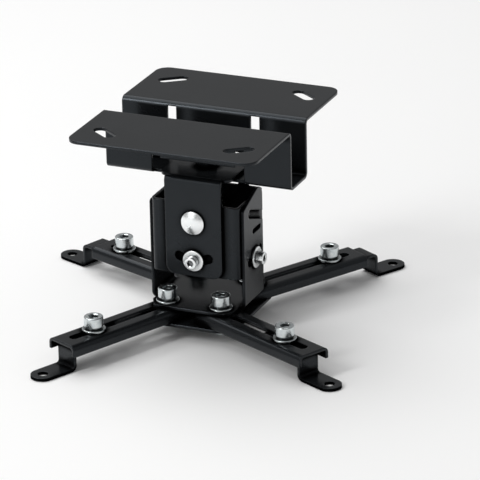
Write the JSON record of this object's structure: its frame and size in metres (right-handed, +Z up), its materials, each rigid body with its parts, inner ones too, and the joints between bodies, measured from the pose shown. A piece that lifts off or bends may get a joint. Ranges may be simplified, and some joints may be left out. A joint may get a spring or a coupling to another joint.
{
  "type": "projector ceiling mount",
  "caption": "Low ceiling mount for a projector: slotted ceiling channel, swivel, roll and tilt joints, and swinging slotted arms with sliding stepped feet.",
  "frame": {"origin": "middle of the outline's bottom, on the plane the feet stand on", "axes": "+X along the ceiling channel, +Y across it towards the back, +Z up to the ceiling"},
  "size_m": [0.2708, 0.2752, 0.15],
  "materials": {
    "black_steel": "satin black powder coat on folded sheet steel",
    "zinc_steel": "bright zinc plated screws, washers and nuts"
  },
  "bodies": {
    "ceiling": {"ceiling_channel": "black_steel"},
    "bracket": {"swivel_bracket": "black_steel", "swivel_bolt": "zinc_steel", "swivel_nut": "zinc_steel"},
    "box": {"roll_box": "black_steel", "roll_pivot_bolts": "zinc_steel", "roll_lock_screws": "zinc_steel", "roll_lock_washers": "zinc_steel", "roll_nuts": "zinc_steel", "tilt_pins": "black_steel", "tilt_lock_screws": "zinc_steel", "tilt_lock_washers": "zinc_steel", "tilt_nuts": "zinc_steel"},
    "base": {"base_bracket": "black_steel", "under_plate": "black_steel", "base_screws": "zinc_steel", "base_washers": "zinc_steel", "base_nuts": "zinc_steel"},
    "arm_fl": {"arm_fl": "black_steel"},
    "foot_fl": {"foot_fl": "black_steel", "foot_screw_fl": "zinc_steel", "foot_washer_fl": "zinc_steel", "foot_nut_fl": "zinc_steel"},
    "arm_fr": {"arm_fr": "black_steel"},
    "foot_fr": {"foot_fr": "black_steel", "foot_screw_fr": "zinc_steel", "foot_washer_fr": "zinc_steel", "foot_nut_fr": "zinc_steel"},
    "arm_bl": {"arm_bl": "black_steel"},
    "foot_bl": {"foot_bl": "black_steel", "foot_screw_bl": "zinc_steel", "foot_washer_bl": "zinc_steel", "foot_nut_bl": "zinc_steel"},
    "arm_br": {"arm_br": "black_steel"},
    "foot_br": {"foot_br": "black_steel", "foot_screw_br": "zinc_steel", "foot_washer_br": "zinc_steel", "foot_nut_br": "zinc_steel"}
  },
  "joints": [
    {"name": "swivel", "type": "hinge", "parent": "ceiling", "child": "bracket", "pos_m": [0.01068, -0.00489, 0.1084], "axis": [0, 0, 1], "range_deg": [-20, 20]},
    {"name": "roll", "type": "hinge", "parent": "bracket", "child": "box", "pos_m": [0.01068, -0.00489, 0.0809], "axis": [0, 1, 0], "range_deg": [-8, 8]},
    {"name": "tilt", "type": "hinge", "parent": "box", "child": "base", "pos_m": [0.01068, -0.01239, 0.0853], "axis": [1, 0, 0], "range_deg": [-15, 15]},
    {"name": "arm_fl_swing", "type": "hinge", "parent": "base", "child": "arm_fl", "pos_m": [-0.00882, -0.03039, 0.0203], "axis": [0, 0, 1], "range_deg": [-49.6, 22.4]},
    {"name": "foot_fl_slide", "type": "slide", "parent": "arm_fl", "child": "foot_fl", "axis": [-0.4289, -0.9033, 0], "range_m": [-0.038, 0.0165]},
    {"name": "arm_fr_swing", "type": "hinge", "parent": "base", "child": "arm_fr", "pos_m": [0.03018, -0.03039, 0.0203], "axis": [0, 0, 1], "range_deg": [-60.8, 11.2]},
    {"name": "foot_fr_slide", "type": "slide", "parent": "arm_fr", "child": "foot_fr", "axis": [0.8973, -0.4415, 0], "range_m": [-0.0375, 0.017]},
    {"name": "arm_bl_swing", "type": "hinge", "parent": "base", "child": "arm_bl", "pos_m": [-0.00882, 0.02061, 0.0203], "axis": [0, 0, 1], "range_deg": [-65.5, 6.5]},
    {"name": "foot_bl_slide", "type": "slide", "parent": "arm_bl", "child": "foot_bl", "axis": [-0.9304, 0.3665, 0], "range_m": [-0.046, 0.0085]},
    {"name": "arm_br_swing", "type": "hinge", "parent": "base", "child": "arm_br", "pos_m": [0.03018, 0.02061, 0.0203], "axis": [0, 0, 1], "range_deg": [-45, 27]},
    {"name": "foot_br_slide", "type": "slide", "parent": "arm_br", "child": "foot_br", "axis": [0.5, 0.866, 0], "range_m": [-0.042, 0.0125]}
  ]
}
